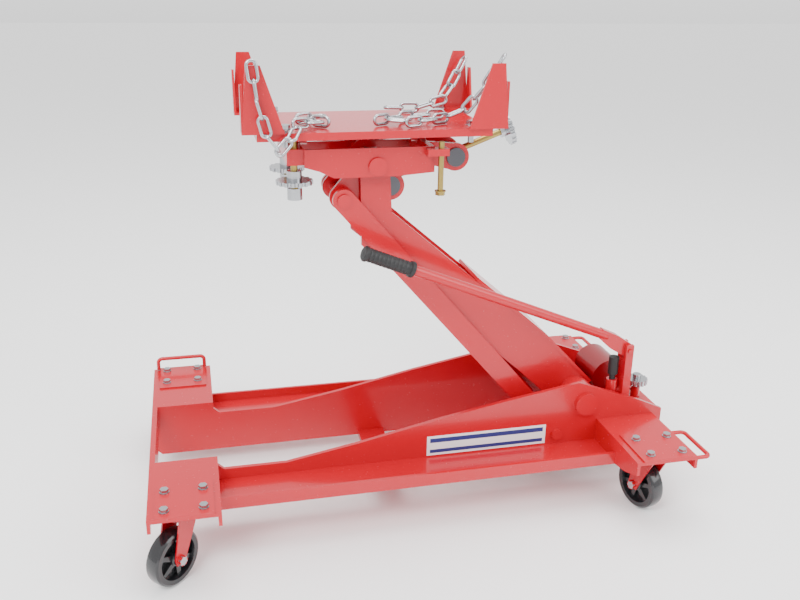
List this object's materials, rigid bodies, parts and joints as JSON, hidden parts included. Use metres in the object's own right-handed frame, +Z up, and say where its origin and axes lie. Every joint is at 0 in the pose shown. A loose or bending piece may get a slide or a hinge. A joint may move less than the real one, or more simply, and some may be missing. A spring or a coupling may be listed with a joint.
{
  "type": "transmission jack",
  "caption": "Low floor jack on swivel casters with a ram-lifted parallelogram arm, pump lever and a tilting saddle table with corner brackets and chains.",
  "frame": {"origin": "on the floor under the middle of the bounding box, with the arm and saddle at their pictured rest height", "axes": "+X from the saddle end to the pump end, +Z up, +Y completes the right-handed frame, so the pump lever stands on the -Y side"},
  "size_m": [1.0232, 0.6104, 0.8471],
  "materials": {
    "red": "glossy bright red paint",
    "chrome": "bright chrome and zinc plate",
    "yellow_zinc": "yellow zinc plated steel",
    "dark_steel": "dark turned steel",
    "black_rubber": "black rubber",
    "black_wheel": "glossy black moulded wheel",
    "panel": "plain pale panel",
    "steel_pin": "bright turned steel"
  },
  "bodies": {
    "chassis": {"arm_pivot_shaft": "red", "caster_bolts": "chrome", "caster_tops": "chrome", "corner_plate_front_left": "red", "corner_plate_front_right": "red", "corner_plate_rear_left": "red", "corner_plate_rear_right": "red", "cross_members": "red", "lift_loops": "red", "link_stub_pins": "red", "pump_body": "red", "pump_posts": "red", "ram_cylinder": "red", "side_panel": "panel", "tray_left": "red", "tray_right": "red", "web_left": "red", "web_right": "red"},
    "arm": {"arm_plate_left": "red", "arm_plate_right": "red", "arm_top_plate": "red", "arm_crank": "red"},
    "links": {"link_left": "red", "link_right": "red"},
    "ram": {"ram_rod": "steel_pin"},
    "head": {"head_plate_left": "red", "head_plate_right": "red", "head_pins": "red"},
    "screw_block": {"screw_block": "dark_steel"},
    "tilt_frame": {"tilt_plate_left": "red", "tilt_plate_right": "red", "tilt_front_block": "red", "tilt_clevis": "red", "roll_shaft": "steel_pin", "level_bolt": "yellow_zinc"},
    "screw_carrier": {"screw_carrier": "dark_steel", "tilt_screw": "yellow_zinc", "tilt_hand_wheel": "chrome"},
    "table": {"table_plate": "red", "bracket_front_left": "red", "bracket_front_right": "red", "bracket_rear_left": "red", "bracket_rear_right": "red", "bracket_bolts": "chrome", "chains": "chrome"},
    "roll_screw_left": {"roll_screw_left": "yellow_zinc"},
    "roll_screw_right": {"roll_screw_right": "yellow_zinc"},
    "lever": {"lever_tube": "red", "lever_grip": "black_rubber"},
    "plunger": {"pump_plunger": "black_rubber"},
    "release_knob": {"release_knob": "chrome"},
    "caster_front_right": {"fork_front_right": "red"},
    "wheel_front_right": {"wheel_front_right": "black_wheel"},
    "caster_front_left": {"fork_front_left": "red"},
    "wheel_front_left": {"wheel_front_left": "black_wheel"},
    "caster_rear_right": {"fork_rear_right": "red"},
    "wheel_rear_right": {"wheel_rear_right": "black_wheel"},
    "caster_rear_left": {"fork_rear_left": "red"},
    "wheel_rear_left": {"wheel_rear_left": "black_wheel"}
  },
  "joints": [
    {"name": "arm_lift", "type": "hinge", "parent": "chassis", "child": "arm", "pos_m": [0.3316, 0, 0.178], "axis": [0, 1, 0], "range_deg": [-48.5, 15]},
    {"name": "link_swing", "type": "hinge", "parent": "chassis", "child": "links", "pos_m": [0.2746, 0, 0.117], "axis": [0, 1, 0], "range_deg": [-48.6, 15.1]},
    {"name": "ram_stroke", "type": "slide", "parent": "chassis", "child": "ram", "axis": [-1, 0, 0], "range_m": [-0.0563, 0.0175]},
    {"name": "head_level", "type": "hinge", "parent": "arm", "child": "head", "pos_m": [-0.0834, 0, 0.658], "axis": [0, 1, 0], "range_deg": [-15.1, 48.6]},
    {"name": "tilt", "type": "hinge", "parent": "head", "child": "tilt_frame", "pos_m": [-0.0834, 0, 0.658], "axis": [0, 1, 0], "range_deg": [-7, 7]},
    {"name": "block_turn", "type": "hinge", "parent": "head", "child": "screw_block", "pos_m": [-0.0534, 0, 0.615], "axis": [0, 1, 0], "range_deg": [-7.8, 7.8]},
    {"name": "carrier_turn", "type": "hinge", "parent": "tilt_frame", "child": "screw_carrier", "pos_m": [0.0686, 0, 0.661], "axis": [0, 1, 0], "range_deg": [-0.75, 0.75]},
    {"name": "roll", "type": "hinge", "parent": "tilt_frame", "child": "table", "pos_m": [-0.0834, 0, 0.698], "axis": [1, 0, 0], "range_deg": [-3, 3]},
    {"name": "roll_screw_left_lift", "type": "slide", "parent": "tilt_frame", "child": "roll_screw_left", "axis": [0, 0, 1], "range_m": [-0.003, 0.003]},
    {"name": "roll_screw_right_lift", "type": "slide", "parent": "tilt_frame", "child": "roll_screw_right", "axis": [0, 0, 1], "range_m": [-0.003, 0.003]},
    {"name": "pump_lever", "type": "hinge", "parent": "chassis", "child": "lever", "pos_m": [0.4206, -0.09, 0.278], "axis": [0, 1, 0], "range_deg": [-20, 6]},
    {"name": "plunger_stroke", "type": "slide", "parent": "chassis", "child": "plunger", "axis": [0, 0, 1], "range_m": [-0.0085, 0.0026]},
    {"name": "release_turn", "type": "hinge", "parent": "chassis", "child": "release_knob", "pos_m": [0.4616, -0.072, 0.19], "axis": [0, 0, 1], "range_deg": [-180, 180]},
    {"name": "swivel_front_right", "type": "hinge", "parent": "chassis", "child": "caster_front_right", "pos_m": [-0.4494, -0.243, 0.1], "axis": [0, 0, 1], "continuous": true},
    {"name": "roll_front_right", "type": "hinge", "parent": "caster_front_right", "child": "wheel_front_right", "pos_m": [-0.4692, -0.2628, 0.05], "axis": [0.7071, -0.7071, 0], "continuous": true},
    {"name": "swivel_front_left", "type": "hinge", "parent": "chassis", "child": "caster_front_left", "pos_m": [-0.4494, 0.243, 0.1], "axis": [0, 0, 1], "continuous": true},
    {"name": "roll_front_left", "type": "hinge", "parent": "caster_front_left", "child": "wheel_front_left", "pos_m": [-0.4296, 0.2628, 0.05], "axis": [-0.7071, 0.7071, 0], "continuous": true},
    {"name": "swivel_rear_right", "type": "hinge", "parent": "chassis", "child": "caster_rear_right", "pos_m": [0.4206, -0.243, 0.1], "axis": [0, 0, 1], "continuous": true},
    {"name": "roll_rear_right", "type": "hinge", "parent": "caster_rear_right", "child": "wheel_rear_right", "pos_m": [0.41335, -0.21595, 0.05], "axis": [-0.9659, -0.2588, 0], "continuous": true},
    {"name": "swivel_rear_left", "type": "hinge", "parent": "chassis", "child": "caster_rear_left", "pos_m": [0.4206, 0.243, 0.1], "axis": [0, 0, 1], "continuous": true},
    {"name": "roll_rear_left", "type": "hinge", "parent": "caster_rear_left", "child": "wheel_rear_left", "pos_m": [0.41335, 0.21595, 0.05], "axis": [0.9659, -0.2588, 0], "continuous": true}
  ],
  "couplings": [
    {"joint": "link_swing", "follows": "arm_lift", "ratio": 1},
    {"joint": "ram_stroke", "follows": "arm_lift", "m_per_rad": 0.0664},
    {"joint": "head_level", "follows": "arm_lift", "ratio": -1},
    {"joint": "block_turn", "follows": "tilt", "ratio": 1.1},
    {"joint": "carrier_turn", "follows": "tilt", "ratio": 0.1},
    {"joint": "roll_screw_left_lift", "follows": "roll", "m_per_rad": 0.057},
    {"joint": "roll_screw_right_lift", "follows": "roll", "m_per_rad": -0.057},
    {"joint": "plunger_stroke", "follows": "pump_lever", "m_per_rad": 0.024}
  ]
}
